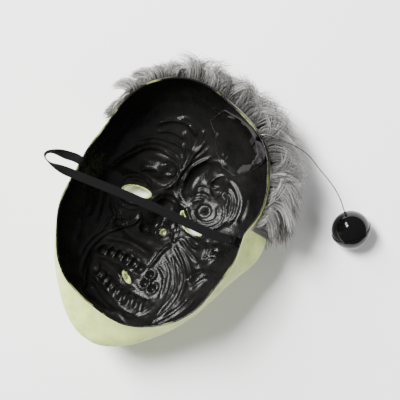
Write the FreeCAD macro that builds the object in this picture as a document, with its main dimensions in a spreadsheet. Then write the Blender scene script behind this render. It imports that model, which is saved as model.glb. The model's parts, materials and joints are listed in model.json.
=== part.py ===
"""Full-face latex mask of a ghoul, with a fur wig, an elastic strap and a ball on a spring wire.

The mask lies on its face, as it is put down. Everything is designed in the mask's own frame: origin in the
middle of the rim, +Y to the forehead, +X to the wearer's right, and the face towards -Z. The placement LYING
then tips the whole mask onto the floor, which is the row frame: +Z up and the floor at Z 0.
"""
import FreeCAD, Part
import math
import os

from FreeCAD import Placement, Rotation, Vector

os.makedirs("parts", exist_ok=True)
doc = FreeCAD.newDocument("ghoul_mask")

# ---------------------------------------------------------------- driving dimensions, millimetres and degrees
SIZES = {
    # rim and bowl of the face shell
    "wall": 2.0,
    "belly_half_width": 92.5,
    "belly_half_length": 124.0,
    "belly_height": -28.0,
    "face_depth": 66.0,
    "closing_height": 78.0,
    "plan_power": 2.35,
    "profile_power": 2.5,
    "rim_sweep_radius": 420.0,
    "chin_overhang": 30.0,
    "ear_lobe": 17.0,
    "forehead_taper": 5.0,
    "grid_points": 57,
    "wrap_angle": 106.0,
    # how the mask lies
    "pitch": 9.0,
    "roll": 4.5,
    "origin_x": 39.01,
    "origin_y": 1.50,
    "rim_above_floor": 106.72,
    # openings
    "eye_hole_length": 26.0,
    "eye_hole_height": 11.5,
    "slit_radius": 23.0,
    "slit_angle": 86.0,
    "slit_height": 5.6,
    "nostril_radius": 3.0,
    "mouth_hole_length": 7.5,
    "mouth_hole_height": 3.0,
    # wig
    "backing_thickness": 1.2,
    "fur_gap": 0.4,
    "fur_stand_off": 0.7,
    "fur_thickness": 40.0,
    "fur_part_gap": 0.8,
    # elastic strap
    "strap_width": 8.6,
    "strap_thickness": 1.1,
    "band_gap": 0.5,
    "tab_side": 15.0,
    "tab_thickness": 0.9,
    "staple_wire": 0.7,
    "staple_crown": 6.0,
    "staple_leg": 3.9,
    "staple_bite": 1.0,
    # cover patch, wire and ball
    "patch_thickness": 0.8,
    "patch_puff": 5.5,
    "anchor_thickness": 1.8,
    "wire_radius": 0.6,
    "pivot_gap": 0.8,
    "ball_radius": 20.0,
    "ball_wall": 1.2,
    "ball_lip": 0.7,
    "lip_height": 2.4,
    "ferrule_radius": 1.5,
    "ferrule_length": 4.0,
    "plug_radius": 3.0,
    "plug_length": 7.0,
}
sheet = doc.addObject("Spreadsheet::Sheet", "Sizes")
for row, (name, value) in enumerate(SIZES.items(), start=1):
    sheet.set(f"A{row}", name)
    sheet.set(f"B{row}", str(value))
    sheet.setAlias(f"B{row}", name)
doc.recompute()


def size(name):
    """The value that the sheet holds under this alias."""
    return float(getattr(sheet, name))


def bind(thing, **formulas):
    """Ties properties of an object to cells of the sheet."""
    for name, formula in formulas.items():
        thing.setExpression(name, formula)


FLOOR_LIFT = Vector(-size("origin_x"), -size("origin_y"), size("rim_above_floor"))
TILT = Rotation(Vector(1, 0, 0), -size("pitch")).multiply(Rotation(Vector(0, 1, 0), -size("roll")))
LYING = Placement(FLOOR_LIFT, TILT)
PARTS = {}


def lay_down(thing, node, local=None):
    """Gives a finished sub-part its node name and puts it down with the rest of the mask."""
    thing.Label = node
    thing.Placement = LYING.multiply(local) if local else LYING
    PARTS[node] = thing
    return thing


def feature(name, shape):
    """A document object that holds a shape made by Part's own functions."""
    made = doc.addObject("Part::Feature", name)
    made.Shape = shape
    return made


# ---------------------------------------------------------------- the surface of the face
def bump(x, y, at, wide, tall, height):
    """A smooth hill, or a hollow where height is negative."""
    return height * math.exp(-(((x - at[0]) / wide) ** 2) - ((y - at[1]) / tall) ** 2)


FACE_FORMS = (
    # middle, reach across, reach along, height towards the front of the face
    ((-1, 14), 10, 26, 10.0),  # bridge of the nose
    ((-2, -11), 18, 15, 11.0),  # tip and wings of the nose
    ((-4, -70), 42, 30, 9.0),  # muzzle, with the teeth and lips
    ((-37, 32), 25, 9, 7.0),  # brow over the open eye
    ((34, 54), 27, 10, 6.5),  # brow over the swollen eye
    ((-36, 12), 18, 11, -7.0),  # open eye's socket
    ((34, 28), 25, 24, -8.0),  # swollen eye's socket
    ((33, 28), 12, 12, 9.0),  # swollen eyeball
    ((-60, -12), 17, 15, 6.0),  # cheekbones
    ((62, -10), 17, 15, 6.0),
    ((-60, -55), 14, 24, -5.0),  # hollow cheeks
    ((56, -52), 14, 24, -6.0),
    ((0, -116), 26, 15, 5.0),  # ball of the chin
)


RIM_FORMS = (
    # direction and spread, degrees; share added to the reach; polar angles between which it sets in
    (114, 27, 0.105, 45, 85),  # high corner of the forehead
    (-100, 45, -0.055, 75, 100),  # the rim draws in over the chin
    (8, 17, -0.075, 75, 100),  # and in front of the ear flap
)


def ease(value, low, high):
    """0 below low, 1 above high, with a smooth step between."""
    share = min(1.0, max(0.0, (value - low) / (high - low)))
    return share * share * (3 - 2 * share)


def skin_point(across, along, out=0.0):
    """A point of the shell's outer surface, moved out along the way it was cast from the middle of the rim.

    across and along run from -1 to 1 over a square wrapped round the bowl, with the face in the middle.
    """
    polar = math.radians(size("wrap_angle")) * math.hypot(across, along)
    turn = math.atan2(along, across)
    return cast(polar, turn, out)


def cast(polar, turn, out=0.0):
    """The same surface by direction: polar is the angle from the way the face looks, turn runs from +X."""
    way = Vector(math.sin(polar) * math.cos(turn), math.sin(polar) * math.sin(turn), -math.cos(polar))
    plan, profile = size("plan_power"), size("profile_power")
    wide, long = size("belly_half_width") + out, size("belly_half_length") + out
    deep = (size("face_depth") if way.z < 0 else size("closing_height")) + out
    flat = (abs(way.x / wide) ** plan + abs(way.y / long) ** plan) ** (profile / plan)
    reach = (flat + abs(way.z / deep) ** profile) ** (-1 / profile)
    point = way * reach
    front = ease(math.cos(polar), 0.12, 0.62)
    for middle, across, along, height in FACE_FORMS:
        point.z -= front * bump(point.x, point.y, middle, across, along, height)
    share = (point.y / long) ** 2
    if point.y < 0:
        jaw = math.exp(-((point.x / 62) ** 2))
        point.y -= size("chin_overhang") * ease(-point.z, -12, 30) * share * jaw
    else:
        point.y -= size("forehead_taper") * ease(-point.z, -46, 44) * share
    if point.x > 0:
        lobe = math.exp(-(((point.y - 12) / 33) ** 2) - ((point.z + 8) / 24) ** 2)
        point.x += size("ear_lobe") * lobe * ease(point.x, 40, 88)
    for direction, spread, growth, low, high in RIM_FORMS:
        apart = (math.degrees(turn) - direction + 180) % 360 - 180
        grown = 1 + growth * math.exp(-((apart / spread) ** 2)) * ease(math.degrees(polar), low, high)
        point.x *= grown
        point.y *= grown
    point.z += size("belly_height")
    return point


def skin_solid(low_rows, high_rows):
    """A closed solid between two sheets of points that have the same rows."""
    sheets = []
    for rows in (low_rows, high_rows):
        surface = Part.BSplineSurface()
        surface.interpolate(rows)
        sheets.append(surface)
    low, high = sheets
    faces = [low.toShape(), high.toShape()]
    first_u, last_u, first_v, last_v = low.bounds()
    high_u, high_last_u, high_v, high_last_v = high.bounds()
    pairs = (
        (low.uIso(first_u), high.uIso(high_u)),
        (low.uIso(last_u), high.uIso(high_last_u)),
        (low.vIso(first_v), high.vIso(high_v)),
        (low.vIso(last_v), high.vIso(high_last_v)),
    )
    for one, other in pairs:
        faces.append(Part.makeRuledSurface(one.toShape(), other.toShape()))
    shell = Part.Shell(faces)
    shell.sewShape()
    solid = Part.Solid(shell)
    if solid.Volume < 0:
        solid.reverse()
    return solid


def spaced(low, high, count):
    return [low + (high - low) * i / (count - 1) for i in range(count)]


# ---------------------------------------------------------------- face shell
steps = spaced(-1, 1, int(size("grid_points")))
inner_rows = [[skin_point(s, t, -size("wall")) for t in steps] for s in steps]
outer_rows = [[skin_point(s, t) for t in steps] for s in steps]
blank = feature("shell_blank", skin_solid(inner_rows, outer_rows))

rim_drum = doc.addObject("Part::Cylinder", "rim_drum")
bind(rim_drum, Radius="Sizes.rim_sweep_radius", Height="4 * Sizes.belly_half_width")
rim_drum.Placement = Placement(
    Vector(-2 * size("belly_half_width"), 0, -size("rim_sweep_radius")), Rotation(Vector(0, 1, 0), 90)
)
trimmed = doc.addObject("Part::Common", "shell_trimmed")
trimmed.Base, trimmed.Tool = blank, rim_drum


CUTTER_HEIGHT = 140
CUTTER_BASE = -150


def slot_cutter(name, length, height, at, turned):
    """An oval prism that opens the shell from front to back."""
    tool = doc.addObject("Part::Ellipse", name + "_outline")
    bind(tool, MajorRadius=f"Sizes.{length} / 2", MinorRadius=f"Sizes.{height} / 2")
    prism = doc.addObject("Part::Extrusion", name)
    prism.Base, prism.Dir, prism.LengthFwd, prism.Solid = tool, Vector(0, 0, 1), CUTTER_HEIGHT, True
    tool.Placement = Placement(Vector(at[0], at[1], CUTTER_BASE), Rotation(Vector(0, 0, 1), turned))
    return prism


eye_hole = slot_cutter("eye_hole", "eye_hole_length", "eye_hole_height", (-37.5, 11), 18)
mouth_hole = slot_cutter("mouth_hole", "mouth_hole_length", "mouth_hole_height", (-3.5, -69.5), -30)
nostril = doc.addObject("Part::Cylinder", "nostril_hole")
bind(nostril, Radius="Sizes.nostril_radius")
nostril.Height = CUTTER_HEIGHT
nostril.Placement = Placement(Vector(6, -10, CUTTER_BASE), Rotation())

# The slit to see through lies under the swollen eyeball and follows a quarter of its rim.
SLIT_MIDDLE = (34, 27)
SLIT_START = 204
slit_rings = []
for name, sign in (("slit_outer", "+"), ("slit_inner", "-")):
    ring = doc.addObject("Part::Cylinder", name)
    bind(ring, Radius=f"Sizes.slit_radius {sign} Sizes.slit_height / 2", Angle="Sizes.slit_angle")
    ring.Height = CUTTER_HEIGHT
    ring.Placement = Placement(Vector(*SLIT_MIDDLE, CUTTER_BASE), Rotation(Vector(0, 0, 1), SLIT_START))
    slit_rings.append(ring)
eye_slit = doc.addObject("Part::Cut", "eye_slit")
eye_slit.Base, eye_slit.Tool = slit_rings


def rim_height(y):
    """Height of the rim at a distance along the mask."""
    radius = size("rim_sweep_radius")
    return math.sqrt(radius * radius - y * y) - radius


def polar_at_depth(turn, below_rim, out=0.0):
    """The polar angle at which the surface lies this far below the rim, in one direction."""
    low, high = math.radians(50), math.radians(105)
    for _ in range(40):
        middle = (low + high) / 2
        point = cast(middle, turn, out)
        if point.z < rim_height(point.y) - below_rim:
            low = middle
        else:
            high = middle
    return low


def outward(polar, turn, out=0.0):
    """Unit normal of the surface, pointing away from the wearer."""
    small = 1e-3
    along = cast(polar + small, turn, out) - cast(polar - small, turn, out)
    round_ = cast(polar, turn + small, out) - cast(polar, turn - small, out)
    normal = along.cross(round_).normalize()
    if normal.dot(cast(polar, turn, out) - Vector(0, 0, -20)) < 0:
        normal = normal * -1
    return normal


WIRE_TURN = math.radians(66.5)
LEFT_STRAP_TURN = math.radians(181.0)
RIGHT_STRAP_TURN = math.radians(3.6)
STAPLE_BELOW_RIM = 11.0


def wall_frame(turn, below_rim, out):
    """A place on the wall with its outward normal as Z and the way round the rim as X."""
    polar = polar_at_depth(turn, below_rim, out)
    normal = outward(polar, turn, out)
    round_way = (cast(polar, turn + 1e-3, out) - cast(polar, turn - 1e-3, out)).normalize()
    return Placement(cast(polar, turn, out), Rotation(round_way, Vector(), normal, "ZXY"))


# Two legs of each staple go through the band, the tab and half of the wall.
staple_holes = []
for turn in (LEFT_STRAP_TURN, RIGHT_STRAP_TURN):
    frame = wall_frame(turn, STAPLE_BELOW_RIM, -size("wall"))
    for side in (-1, 1):
        hole = doc.addObject("Part::Cylinder", "staple_hole")
        bind(hole, Radius="Sizes.staple_wire * 0.75", Height="Sizes.staple_leg + 6")
        leg_from_middle = (size("staple_crown") - size("staple_wire")) / 2
        offset = Vector(side * leg_from_middle, 0, size("staple_bite") - size("staple_leg") - 6)
        hole.Placement = frame.multiply(Placement(offset, Rotation()))
        staple_holes.append(hole)

holes = doc.addObject("Part::MultiFuse", "shell_holes")
holes.Shapes = [eye_hole, eye_slit, mouth_hole, nostril]
staples_drilled = doc.addObject("Part::MultiFuse", "staple_holes")
staples_drilled.Shapes = staple_holes
shell_open = doc.addObject("Part::Cut", "face_shell_open")
shell_open.Base, shell_open.Tool = trimmed, holes
shell = doc.addObject("Part::Cut", "face_shell_cut")
shell.Base, shell.Tool = shell_open, staples_drilled
lay_down(shell, "face_shell")
doc.recompute()


# ---------------------------------------------------------------- wig: backing strip and tufts of fur
WIG_START, WIG_END = math.radians(14.0), math.radians(147.0)
FRONT_POLAR = math.radians(56.0)
BACKING_BELOW_RIM = 3.0


def band_solid(start, end, front, below_rim, low_out, high_out, across=9, along=9):
    """A solid that follows the outside of the shell between two directions. low_out and high_out give the
    distances from the shell for a share round the band and a share from its front edge to the rim."""
    low_rows, high_rows = [], []
    for turn in spaced(start, end, across):
        top = polar_at_depth(turn, below_rim)
        share = (turn - start) / (end - start)
        shares = spaced(0, 1, along)
        low_rows.append([cast(front + (top - front) * s, turn, low_out(share, s)) for s in shares])
        high_rows.append([cast(front + (top - front) * s, turn, high_out(share, s)) for s in shares])
    return skin_solid(low_rows, high_rows)


backing_out = size("fur_gap") + size("backing_thickness")
backing = band_solid(
    WIG_START,
    WIG_END,
    FRONT_POLAR,
    BACKING_BELOW_RIM,
    lambda share, s: size("fur_gap"),
    lambda share, s: backing_out,
    across=45,
    along=13,
)
lay_down(feature("wig_backing_strip", backing), "wig_backing")

# Where each tuft of fur starts, in degrees round the rim, with its reach beyond the shell as a share.
TUFTS = (
    (14.0, 27.0, 0.74),
    (27.0, 41.0, 0.88),
    (41.0, 54.0, 0.97),
    (54.0, 67.0, 1.04),
    (67.0, 80.0, 1.08),
    (80.0, 94.0, 0.98),
    (94.0, 108.0, 0.76),
    (108.0, 121.0, 0.52),
    (121.0, 133.0, 0.44),
    (133.0, 140.0, 0.26),
    (140.0, 147.0, 0.20),
)
floor_block = Part.makeBox(600, 600, 300, Vector(-300, -300, 0))
floor_block.Placement = LYING.inverse().multiply(floor_block.Placement)


def tuft_profile(reach):
    """How far a tuft stands out: full behind the rim, thinner to the front edge and to its sides."""

    def out(share, s):
        side = 1 - 0.22 * abs(2 * share - 1) ** 3
        front = 0.52 + 0.48 * ease(s, 0.0, 0.75)
        top = 1 - 0.30 * ease(s, 0.82, 1.0)
        return backing_out + size("fur_gap") + size("fur_thickness") * reach * side * front * top

    return out


FUR_BELOW_RIM = 7.0
for number, (start, end, reach) in enumerate(TUFTS, start=1):
    half_gap = math.radians(size("fur_part_gap") / 2)
    tuft = band_solid(
        math.radians(start) + half_gap,
        math.radians(end) - half_gap,
        FRONT_POLAR + math.radians(1.5),
        FUR_BELOW_RIM,
        lambda share, s: backing_out + size("fur_stand_off"),
        tuft_profile(reach),
        across=7,
        along=11,
    )
    tuft = tuft.common(floor_block)
    lay_down(feature(f"tuft_{number:02d}", tuft), f"hair_tuft_{number:02d}")


# ---------------------------------------------------------------- elastic strap, its fixed ends, tabs and staples
def ribbon(stations, width, thickness):
    """A flat band. Each station is a point of the middle line and the way across the band there."""
    low_rows, high_rows = [], []
    last = len(stations) - 1
    for i, (point, across) in enumerate(stations):
        along = stations[min(i + 1, last)][0] - stations[max(i - 1, 0)][0]
        across = (across - along * (across.dot(along) / along.dot(along))).normalize()
        normal = across.cross(along).normalize()
        shares = (-0.5, 0.0, 0.5)
        low_rows.append([point + across * (width * s) - normal * (thickness / 2) for s in shares])
        high_rows.append([point + across * (width * s) + normal * (thickness / 2) for s in shares])
    return skin_solid(low_rows, high_rows)


def twisted(route):
    """Stations of a band from points that also say how far the band is turned from lying flat to on edge."""
    stations = []
    last = len(route) - 1
    for i, (x, y, z, edge) in enumerate(route):
        along = Vector(*route[min(i + 1, last)][:3]) - Vector(*route[max(i - 1, 0)][:3])
        flat = Vector(0, 0, 1).cross(along).normalize() * -1
        turned = math.radians(90 * edge)
        stations.append((Vector(x, y, z), flat * math.cos(turned) + Vector(0, 0, 1) * math.sin(turned)))
    return stations


# x, y, z, and the share of a quarter turn from flat to on edge
STRAP_ROUTE = (
    (-94.0, -1.6, 3.3, 0.0),
    (-102.0, -3.2, 2.9, 0.25),
    (-109.5, -4.8, 2.9, 0.6),
    (-115.8, -7.0, 3.0, 0.9),
    (-119.8, -9.9, 3.0, 1.0),
    (-120.9, -13.2, 3.0, 1.0),
    (-118.6, -16.2, 3.0, 1.0),
    (-112.2, -17.9, 2.9, 0.85),
    (-104.0, -17.8, 2.7, 0.5),
    (-96.0, -17.2, 2.4, 0.15),
    (-87.0, -16.0, 2.1, 0.0),
    (-60.0, -12.4, 1.8, 0.0),
    (-30.0, -8.6, 1.6, 0.0),
    (0.0, -5.4, 1.2, 0.0),
    (30.0, -3.2, 0.8, 0.0),
    (60.0, -0.4, 0.3, 0.0),
    (70.0, 2.2, 0.0, 0.0),
    (76.9, 4.4, -0.5, 0.0),
)
strap = ribbon(twisted(STRAP_ROUTE), size("strap_width"), size("strap_thickness"))
lay_down(feature("strap_band", strap), "elastic_strap")

band_out = -size("wall") - size("tab_thickness") - size("strap_thickness") / 2 - size("band_gap")


def on_wall(turn, depths, out):
    """Points down the inside of the wall, with the way round the rim."""
    stations = []
    for depth in depths:
        frame = wall_frame(turn, depth, -size("wall"))
        stations.append((frame.multVec(Vector(0, 0, out + size("wall"))), frame.Rotation.multVec(Vector(1, 0, 0))))
    return stations


WAY_ACROSS = Vector(0, 1, 0)
ENDS = {
    "left": (
        LEFT_STRAP_TURN,
        ((-85.4, -1.6, -1.6), (-85.5, -1.6, 1.6), (-87.4, -1.6, 3.7), (-90.2, -1.6, 4.1), (-92.9, -1.6, 3.6)),
    ),
    "right": (RIGHT_STRAP_TURN, ((78.9, 5.0, -2.8), (77.9, 4.8, -1.1))),
}
for side, (turn, lead) in ENDS.items():
    sign = -1 if side == "left" else 1
    stations = [(point, across * sign) for point, across in on_wall(turn, (17, 13, 9, 5), band_out)]
    stations += [(Vector(*point), WAY_ACROSS) for point in lead]
    end_band = ribbon(stations, size("strap_width"), size("strap_thickness"))

    half_tab = math.asin(size("tab_side") / 2 / size("belly_half_width"))
    tab = band_solid(
        turn - half_tab,
        turn + half_tab,
        polar_at_depth(turn, 6 + size("tab_side")),
        4.5,
        lambda share, s: -size("wall") - size("tab_thickness"),
        lambda share, s: -size("wall") - 0.1,
        across=5,
        along=5,
    )
    middle = wall_frame(turn, STAPLE_BELOW_RIM, -size("wall"))
    wire = size("staple_wire")
    crown_length, leg = size("staple_crown"), size("staple_leg")
    staple = Part.makeBox(crown_length, wire, wire, Vector(-crown_length / 2, -wire / 2, -wire / 2))
    for way in (-1, 1):
        at = Vector(way * (crown_length - wire) / 2, 0, 0)
        staple = staple.fuse(Part.makeBox(wire, wire, leg, at - Vector(wire / 2, wire / 2, 0)))
        room = Part.makeCylinder(wire * 0.75, 12, at - Vector(0, 0, 4), Vector(0, 0, 1))
        room.Placement = middle.multiply(Placement(Vector(0, 0, -2.7), Rotation())).multiply(room.Placement)
        end_band, tab = end_band.cut(room), tab.cut(room)
    staple = staple.removeSplitter()
    crown_out = band_out + size("wall") - size("strap_thickness") / 2 - wire / 2 - 0.25
    lay_down(feature(f"end_{side}", end_band), f"strap_end_{side}")
    lay_down(feature(f"tab_{side}", tab), f"strap_tab_{side}")
    lay_down(
        feature(f"staple_{side}", staple),
        f"strap_staple_{side}",
        middle.multiply(Placement(Vector(0, 0, crown_out), Rotation())),
    )


# ---------------------------------------------------------------- wire anchor and the cloth that covers it
PATCH_START, PATCH_END = math.radians(53.0), math.radians(89.0)
PATCH_FRONT = math.radians(58.0)
wire_share = (WIRE_TURN - PATCH_START) / (PATCH_END - PATCH_START)


def patch_lift(share, s):
    """The cloth stands off the wall over the wire and its anchor, and lies on the wall at its other edges."""
    return 0.3 + size("patch_puff") * math.exp(-(((share - wire_share) / 0.30) ** 2)) * ease(s, 0.0, 0.40)


patch = band_solid(
    PATCH_START,
    PATCH_END,
    PATCH_FRONT,
    1.0,
    lambda share, s: -size("wall") - patch_lift(share, s) - size("patch_thickness"),
    lambda share, s: -size("wall") - patch_lift(share, s),
    across=11,
    along=11,
)
lay_down(feature("patch_cloth", patch), "cover_patch")

anchor = band_solid(
    WIRE_TURN - math.radians(3.6),
    WIRE_TURN + math.radians(3.6),
    polar_at_depth(WIRE_TURN, 34.0, -size("wall")),
    16.0,
    lambda share, s: -size("wall") - 0.2 - size("anchor_thickness"),
    lambda share, s: -size("wall") - 0.2,
    across=5,
    along=5,
)
lay_down(feature("anchor_plate", anchor), "wire_anchor")


# ---------------------------------------------------------------- spring wire
# Where the free wire and the ball lie on the floor, from the middle of the rim, in the row frame's directions.
FREE_WIRE = (
    (54.5, 109.4, 85.7),
    (60.5, 110.7, 86.9),
    (68.9, 112.4, 87.9),
    (80.8, 113.9, 87.5),
    (92.0, 114.3, 83.5),
    (102.9, 112.8, 77.0),
    (116.3, 108.2, 67.5),
    (129.0, 104.6, 57.0),
    (141.0, 100.3, 47.0),
    (152.1, 94.5, 38.4),
)
OVER_RIM = ((47.0, 103.2, 79.4), (48.2, 105.2, 82.4), (50.6, 107.7, 84.5))
RIM_TO_ROW = Vector(FLOOR_LIFT.x, FLOOR_LIFT.y, 0)
BALL_CENTRE = Vector(179.7, 73.2, size("ball_radius")) + RIM_TO_ROW
BALL_AXIS = Vector(-0.695, 0.530, 0.485).normalize()
wire_out = -size("wall") - 0.2 - size("anchor_thickness") - size("wire_radius") - 0.1
wire_points = [LYING.multVec(point) for point, _ in on_wall(WIRE_TURN, (31, 25, 19, 13, 8, 4), wire_out)]
wire_points += [Vector(*point) + RIM_TO_ROW for point in OVER_RIM]
wire_points += [Vector(*point) + RIM_TO_ROW for point in FREE_WIRE]
wire_points += [
    BALL_CENTRE + BALL_AXIS * reach
    for reach in (28.0, 23.0, 17.5, 12.0)
]
wire_line = Part.BSplineCurve()
wire_line.interpolate(wire_points)


def wire_span(start, end, stations):
    """A length of the wire between two parameters of its middle line."""
    rings = []
    for at in spaced(start, end, stations):
        along = wire_line.tangent(at)[0]
        ring = Part.Circle(wire_line.value(at), along, size("wire_radius"))
        ring.XAxis = along.cross(Vector(1, 2, 0.2)).normalize()
        rings.append(Part.Wire(ring.toShape()))
    return Part.makeLoft(rings, True, False)


def nudged(at, distance):
    """The parameter a distance further along the wire."""
    return at + distance / wire_line.getD1(at)[1].Length


BOB_PIVOT = wire_line.parameter(Vector(*FREE_WIRE[0]) + RIM_TO_ROW)
SWAY_PIVOT = wire_line.parameter(Vector(*FREE_WIRE[4]) + RIM_TO_ROW)
half_gap = size("pivot_gap") / 2
spans = {
    "spring_wire_root": (wire_line.FirstParameter, nudged(BOB_PIVOT, -half_gap), 16),
    "spring_wire_mid": (nudged(BOB_PIVOT, half_gap), nudged(SWAY_PIVOT, -half_gap), 10),
    "spring_wire_tip": (nudged(SWAY_PIVOT, half_gap), wire_line.LastParameter, 18),
}
for node, (start, end, stations) in spans.items():
    thing = feature(node + "_rod", wire_span(start, end, stations))
    thing.Label = node
    PARTS[node] = thing


# ---------------------------------------------------------------- ball on the end of the wire
BALL_PLACE = Placement(BALL_CENTRE, Rotation(Vector(0, 0, 1), BALL_AXIS))


def dome(name, radius, low, high):
    """Half of a ball, between two latitudes."""
    made = doc.addObject("Part::Sphere", name)
    bind(made, Radius=radius)
    made.Angle1, made.Angle2 = low, high
    return made


def rod(name, radius, height, z):
    """A round bar on the ball's axis, starting at height z."""
    made = doc.addObject("Part::Cylinder", name)
    bind(made, Radius=radius, Height=height)
    made.setExpression("Placement.Base.z", z)
    return made


def cut(name, base, *tools):
    """base with one or more tools taken away."""
    made = doc.addObject("Part::Cut", name)
    made.Base = base
    if len(tools) == 1:
        made.Tool = tools[0]
    else:
        joined = doc.addObject("Part::MultiFuse", name + "_tools")
        joined.Shapes = list(tools)
        made.Tool = joined
    return made


def place_on_wire(thing, node):
    """Gives a piece of the ball its node name and puts it on the end of the wire."""
    thing.Label = node
    thing.Placement = BALL_PLACE
    PARTS[node] = thing


INNER = "Sizes.ball_radius - Sizes.ball_wall"
upper = cut(
    "upper_cup",
    dome("upper_outside", "Sizes.ball_radius", 0, 90),
    dome("upper_inside", INNER, 0, 90),
    rod("ferrule_room", "Sizes.ferrule_radius + 0.05", "10 mm", "Sizes.ball_radius - 5"),
)
lower_blank = doc.addObject("Part::MultiFuse", "lower_blank")
lower_blank.Shapes = [
    dome("lower_outside", "Sizes.ball_radius", -90, 0),
    rod("lip_ring", "Sizes.ball_radius + Sizes.ball_lip", "Sizes.lip_height", "-Sizes.lip_height"),
]
lower = cut(
    "lower_cup",
    lower_blank,
    dome("lower_inside", INNER, -90, 0),
)
place_on_wire(upper, "ball_upper_shell")
place_on_wire(lower, "ball_lower_shell")
BORE = "Sizes.wire_radius + 0.06"
ferrule = cut(
    "ferrule",
    rod("ferrule_body", "Sizes.ferrule_radius", "Sizes.ferrule_length", "Sizes.ball_radius - Sizes.ball_wall"),
    rod("ferrule_bore", BORE, "Sizes.ferrule_length + 4", "Sizes.ball_radius - Sizes.ball_wall - 2"),
)
place_on_wire(ferrule, "wire_ferrule")
PLUG_TOP = "Sizes.ball_radius - Sizes.ball_wall - 0.4"
plug = cut(
    "plug",
    rod("plug_body", "Sizes.plug_radius", "Sizes.plug_length", PLUG_TOP + " - Sizes.plug_length"),
    rod("plug_bore", BORE, "Sizes.plug_length + 4", PLUG_TOP + " - Sizes.plug_length - 2"),
)
place_on_wire(plug, "wire_plug")

# ---------------------------------------------------------------- checks and files
doc.recompute()
for thing in doc.Objects:
    if "Invalid" in thing.State or "Error" in thing.State:
        raise RuntimeError(f"{thing.Name} did not rebuild: {thing.State}")
for node, thing in PARTS.items():
    shape = thing.Shape
    if shape.isNull() or not shape.isValid() or len(shape.Solids) != 1:
        raise RuntimeError(f"{node} is not one sound solid ({len(shape.Solids)} solids)")
    shape.exportStep(f"parts/{node}.step")
    box = shape.BoundBox
    corners = (box.XMin, box.YMin, box.ZMin, box.XMax, box.YMax, box.ZMax)
    print(node, round(shape.Volume), [round(v, 1) for v in corners])
pivots = {
    "strap_left": LYING.multVec(Vector(-93.75, -1.6, 3.35)),
    "strap_right": LYING.multVec(Vector(77.6, 4.6, -0.75)),
    "bob": wire_line.value(BOB_PIVOT),
    "bob_way": wire_line.tangent(BOB_PIVOT)[0],
    "sway": wire_line.value(SWAY_PIVOT),
    "sway_way": wire_line.tangent(SWAY_PIVOT)[0],
}
for name, at in pivots.items():
    print(name, [round(v, 3) for v in at])
print("wire length", round(wire_line.length(), 1))
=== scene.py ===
import json
import math
import random

import bmesh
import bpy
import numpy as np
from mathutils import Matrix, Vector, noise
from mathutils.bvhtree import BVHTree


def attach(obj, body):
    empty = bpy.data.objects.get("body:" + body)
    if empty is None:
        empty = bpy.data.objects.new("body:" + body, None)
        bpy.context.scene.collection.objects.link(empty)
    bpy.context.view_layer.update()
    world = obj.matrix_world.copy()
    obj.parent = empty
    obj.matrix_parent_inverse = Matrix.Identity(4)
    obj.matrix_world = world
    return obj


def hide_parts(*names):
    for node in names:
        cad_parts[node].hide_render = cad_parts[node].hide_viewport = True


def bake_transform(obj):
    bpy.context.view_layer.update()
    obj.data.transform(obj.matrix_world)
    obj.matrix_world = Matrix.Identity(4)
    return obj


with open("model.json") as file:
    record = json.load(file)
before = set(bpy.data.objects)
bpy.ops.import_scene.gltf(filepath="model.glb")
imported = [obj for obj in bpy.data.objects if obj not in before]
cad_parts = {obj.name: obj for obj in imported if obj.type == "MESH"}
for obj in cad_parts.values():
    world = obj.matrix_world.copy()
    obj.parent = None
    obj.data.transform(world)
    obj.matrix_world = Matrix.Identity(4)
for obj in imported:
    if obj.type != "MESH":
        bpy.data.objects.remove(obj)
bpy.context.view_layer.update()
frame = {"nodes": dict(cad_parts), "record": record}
nodes = frame["nodes"]


# ------------------------------------------------------------------ floor, light and camera
# A pale seamless paper floor under the mask, soft studio lights, and a camera straight above it, turned so
# that the forehead points to the upper right.
def linked(name, data):
    """A new object in the scene."""
    made = bpy.data.objects.new(name, data)
    bpy.context.collection.objects.link(made)
    return made


def placed(bm, name):
    """A new object in the scene with the bmesh as its mesh."""
    mesh = bpy.data.meshes.new(name)
    bm.to_mesh(mesh)
    bm.free()
    return linked(name, mesh)


def new_material(name, **sockets):
    """A node material with plain values on its shader's sockets, and those sockets."""
    made = bpy.data.materials.new(name)
    made.use_nodes = True
    shader = made.node_tree.nodes["Principled BSDF"].inputs
    for socket, value in sockets.items():
        shader[socket.replace("_", " ")].default_value = value
    return made, shader


def node(material, kind, **inputs):
    """A shader node. Each input is a plain value or the output socket that feeds it."""
    made = material.node_tree.nodes.new(f"ShaderNode{kind}")
    for name, value in inputs.items():
        socket = made.inputs[name.replace("_", " ")]
        if isinstance(value, bpy.types.NodeSocket):
            material.node_tree.links.new(value, socket)
        else:
            socket.default_value = value
    return made


def bumped(material, height, strength, distance, below=None):
    """A Bump node on the shader's Normal, on top of an earlier one if it is given."""
    made = node(material, "Bump", Height=height, Strength=strength, Distance=distance)
    if below:
        material.node_tree.links.new(below.outputs["Normal"], made.inputs["Normal"])
    shader = material.node_tree.nodes["Principled BSDF"].inputs
    material.node_tree.links.new(made.outputs["Normal"], shader["Normal"])
    return made


bm = bmesh.new()
bmesh.ops.create_grid(bm, x_segments=1, y_segments=1, size=6.0)
floor = placed(bm, "floor")
floor.location = (0, 0, -0.0006)
paper, _ = new_material("floor_paper", Base_Color=(0.86, 0.86, 0.86, 1), Roughness=0.85)
paper_grain = node(paper, "TexNoise", Scale=900)
bumped(paper, paper_grain.outputs["Fac"], 0.03, 0.0004)
floor.data.materials.append(paper)

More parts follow.
